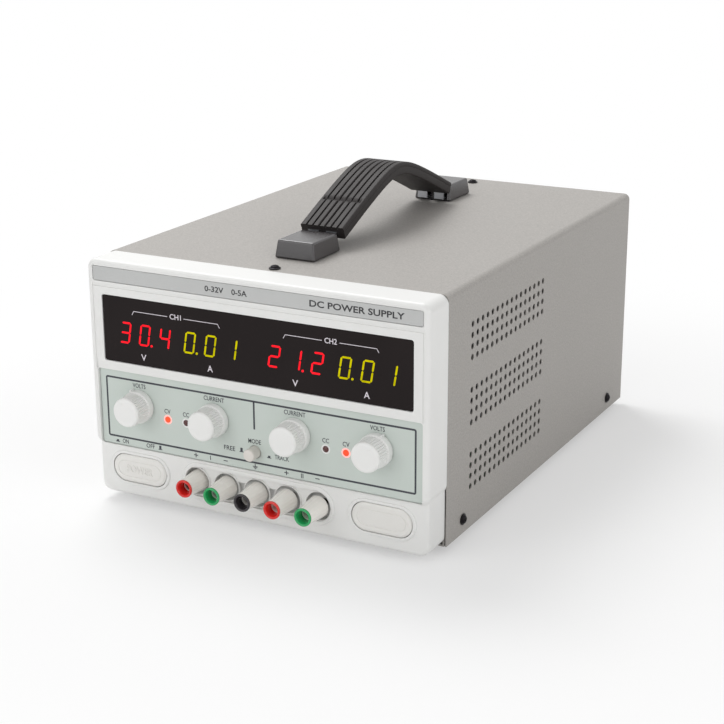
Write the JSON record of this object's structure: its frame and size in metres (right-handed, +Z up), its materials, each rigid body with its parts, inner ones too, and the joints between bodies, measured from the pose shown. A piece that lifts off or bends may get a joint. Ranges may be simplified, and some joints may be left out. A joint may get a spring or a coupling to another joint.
{
  "type": "bench power supply",
  "caption": "Box-shaped two-output bench power supply with a front of digital readouts, knobs and binding posts, and a strap handle.",
  "frame": {"origin": "middle of the footprint, at the height of the bench that the feet stand on", "axes": "+Y from the front panel to the back, +Z up, +X to the right as seen from the front"},
  "size_m": [0.2652, 0.3844, 0.2223],
  "materials": {
    "bezel_white": "moulded, fine satin",
    "cover_paint": "fine textured powder coat",
    "zinc_steel": "zinc plated",
    "strip_grey": "printed film",
    "smoked_window": "smoked acrylic, polished",
    "overlay_green": "pale grey-green printed panel",
    "circuit_board": "soldered board",
    "button_white": "moulded",
    "black_plastic": "moulded",
    "stud_brass": "turned",
    "strap_rubber": "ribbed, semi-matt",
    "spring_steel": "bright strip",
    "handle_cap": "satin moulded",
    "slider_red": "moulded",
    "core_steel": "laminated, varnished",
    "winding": "copper wire under yellow tape",
    "capacitor_sleeve": "shrink sleeve",
    "sink_aluminium": "extruded",
    "knob_white": "moulded, fluted",
    "post_nut_beige": "metallic-look moulded",
    "ring_red": "moulded",
    "ring_green": "moulded",
    "ring_black": "moulded",
    "screw_black": "black zinc",
    "foot_rubber": "matt"
  },
  "bodies": {
    "root": {"front_bezel": "bezel_white", "top_cover": "cover_paint", "base_pan": "cover_paint", "rear_panel": "cover_paint", "front_subpanel": "zinc_steel", "name_strip": "strip_grey", "display_window": "smoked_window", "control_overlay": "overlay_green", "control_board": "circuit_board", "display_board": "circuit_board", "power_switch": "black_plastic", "blank_cap": "button_white", "terminal_board": "stud_brass", "handle_cap_front": "handle_cap", "handle_cap_rear": "handle_cap", "fan_housing": "black_plastic", "mains_inlet": "black_plastic", "voltage_selector": "black_plastic", "transformer_core": "core_steel", "transformer_coil": "winding", "main_board": "circuit_board", "capacitor_front": "capacitor_sleeve", "capacitor_rear": "capacitor_sleeve", "heatsink": "sink_aluminium", "screw_top_front": "screw_black", "screw_top_rear": "screw_black", "screw_left_front": "screw_black", "screw_left_rear": "screw_black", "screw_right_front": "screw_black", "screw_right_rear": "screw_black", "foot_front_left": "foot_rubber", "foot_front_right": "foot_rubber", "foot_rear_left": "foot_rubber", "foot_rear_right": "foot_rubber"},
    "knob_volts_left": {"knob_volts_left": "knob_white", "shaft_volts_left": "stud_brass"},
    "knob_current_left": {"knob_current_left": "knob_white", "shaft_current_left": "stud_brass"},
    "knob_current_right": {"knob_current_right": "knob_white", "shaft_current_right": "stud_brass"},
    "knob_volts_right": {"knob_volts_right": "knob_white", "shaft_volts_right": "stud_brass"},
    "mode_button": {"mode_button": "button_white"},
    "power_button": {"power_button": "button_white"},
    "ring_plus_left": {"post_ring_plus_left": "ring_red"},
    "nut_plus_left": {"post_nut_plus_left": "post_nut_beige"},
    "ring_minus_left": {"post_ring_minus_left": "ring_green"},
    "nut_minus_left": {"post_nut_minus_left": "post_nut_beige"},
    "ring_ground": {"post_ring_ground": "ring_black"},
    "nut_ground": {"post_nut_ground": "post_nut_beige"},
    "ring_plus_right": {"post_ring_plus_right": "ring_red"},
    "nut_plus_right": {"post_nut_plus_right": "post_nut_beige"},
    "ring_minus_right": {"post_ring_minus_right": "ring_green"},
    "nut_minus_right": {"post_nut_minus_right": "post_nut_beige"},
    "handle": {"handle_strap": "strap_rubber", "handle_spring": "spring_steel"},
    "fan_rotor": {"fan_rotor": "black_plastic"},
    "fuse_drawer": {"fuse_drawer": "black_plastic"},
    "selector_slider": {"selector_slider": "slider_red"}
  },
  "joints": [
    {"name": "turn_knob_volts_left", "type": "hinge", "parent": "root", "child": "knob_volts_left", "pos_m": [-0.092, -0.17275, 0.075], "axis": [0, 1, 0], "range_deg": [-126, 174]},
    {"name": "turn_knob_current_left", "type": "hinge", "parent": "root", "child": "knob_current_left", "pos_m": [-0.0315, -0.17275, 0.075], "axis": [0, 1, 0], "range_deg": [-30, 270]},
    {"name": "turn_knob_current_right", "type": "hinge", "parent": "root", "child": "knob_current_right", "pos_m": [0.0315, -0.17275, 0.075], "axis": [0, 1, 0], "range_deg": [-60, 240]},
    {"name": "turn_knob_volts_right", "type": "hinge", "parent": "root", "child": "knob_volts_right", "pos_m": [0.092, -0.17275, 0.075], "axis": [0, 1, 0], "range_deg": [-174, 126]},
    {"name": "press_mode_button", "type": "slide", "parent": "root", "child": "mode_button", "axis": [0, 1, 0], "range_m": [0, 0.0035]},
    {"name": "press_power_button", "type": "slide", "parent": "root", "child": "power_button", "axis": [0, -1, 0], "range_m": [-0.0008, 0.0035]},
    {"name": "travel_post_plus_left", "type": "slide", "parent": "root", "child": "ring_plus_left", "axis": [0, -1, 0], "range_m": [-0.0017, 0.0068]},
    {"name": "turn_post_plus_left", "type": "hinge", "parent": "ring_plus_left", "child": "nut_plus_left", "pos_m": [-0.048, -0.17275, 0.027], "axis": [0, -1, 0], "range_deg": [-620, 2456]},
    {"name": "travel_post_minus_left", "type": "slide", "parent": "root", "child": "ring_minus_left", "axis": [0, -1, 0], "range_m": [-0.0047, 0.0038]},
    {"name": "turn_post_minus_left", "type": "hinge", "parent": "ring_minus_left", "child": "nut_minus_left", "pos_m": [-0.024, -0.17275, 0.027], "axis": [0, -1, 0], "range_deg": [-1700, 1376]},
    {"name": "travel_post_ground", "type": "slide", "parent": "root", "child": "ring_ground", "axis": [0, -1, 0], "range_m": [-0.0047, 0.0038]},
    {"name": "turn_post_ground", "type": "hinge", "parent": "ring_ground", "child": "nut_ground", "pos_m": [0, -0.17275, 0.027], "axis": [0, -1, 0], "range_deg": [-1700, 1376]},
    {"name": "travel_post_plus_right", "type": "slide", "parent": "root", "child": "ring_plus_right", "axis": [0, -1, 0], "range_m": [-0.0062, 0.0023]},
    {"name": "turn_post_plus_right", "type": "hinge", "parent": "ring_plus_right", "child": "nut_plus_right", "pos_m": [0.024, -0.17275, 0.027], "axis": [0, -1, 0], "range_deg": [-2240, 836]},
    {"name": "travel_post_minus_right", "type": "slide", "parent": "root", "child": "ring_minus_right", "axis": [0, -1, 0], "range_m": [-0.0072, 0.0013]},
    {"name": "turn_post_minus_right", "type": "hinge", "parent": "ring_minus_right", "child": "nut_minus_right", "pos_m": [0.048, -0.17275, 0.027], "axis": [0, -1, 0], "range_deg": [-2600, 476]},
    {"name": "lift_handle", "type": "slide", "parent": "root", "child": "handle", "axis": [0, 0, 1], "range_m": [0, 0.0025]},
    {"name": "spin_fan", "type": "hinge", "parent": "root", "child": "fan_rotor", "pos_m": [-0.062, 0.17725, 0.103], "axis": [0, 1, 0], "continuous": true},
    {"name": "pull_fuse_drawer", "type": "slide", "parent": "root", "child": "fuse_drawer", "axis": [0, 1, 0], "range_m": [0, 0.016]},
    {"name": "slide_selector", "type": "slide", "parent": "root", "child": "selector_slider", "axis": [1, 0, 0], "range_m": [0, 0.006]}
  ],
  "couplings": [
    {"joint": "turn_post_plus_left", "follows": "travel_post_plus_left", "rad_per_m": 6283.2},
    {"joint": "turn_post_minus_left", "follows": "travel_post_minus_left", "rad_per_m": 6283.2},
    {"joint": "turn_post_ground", "follows": "travel_post_ground", "rad_per_m": 6283.2},
    {"joint": "turn_post_plus_right", "follows": "travel_post_plus_right", "rad_per_m": 6283.2},
    {"joint": "turn_post_minus_right", "follows": "travel_post_minus_right", "rad_per_m": 6283.2}
  ]
}
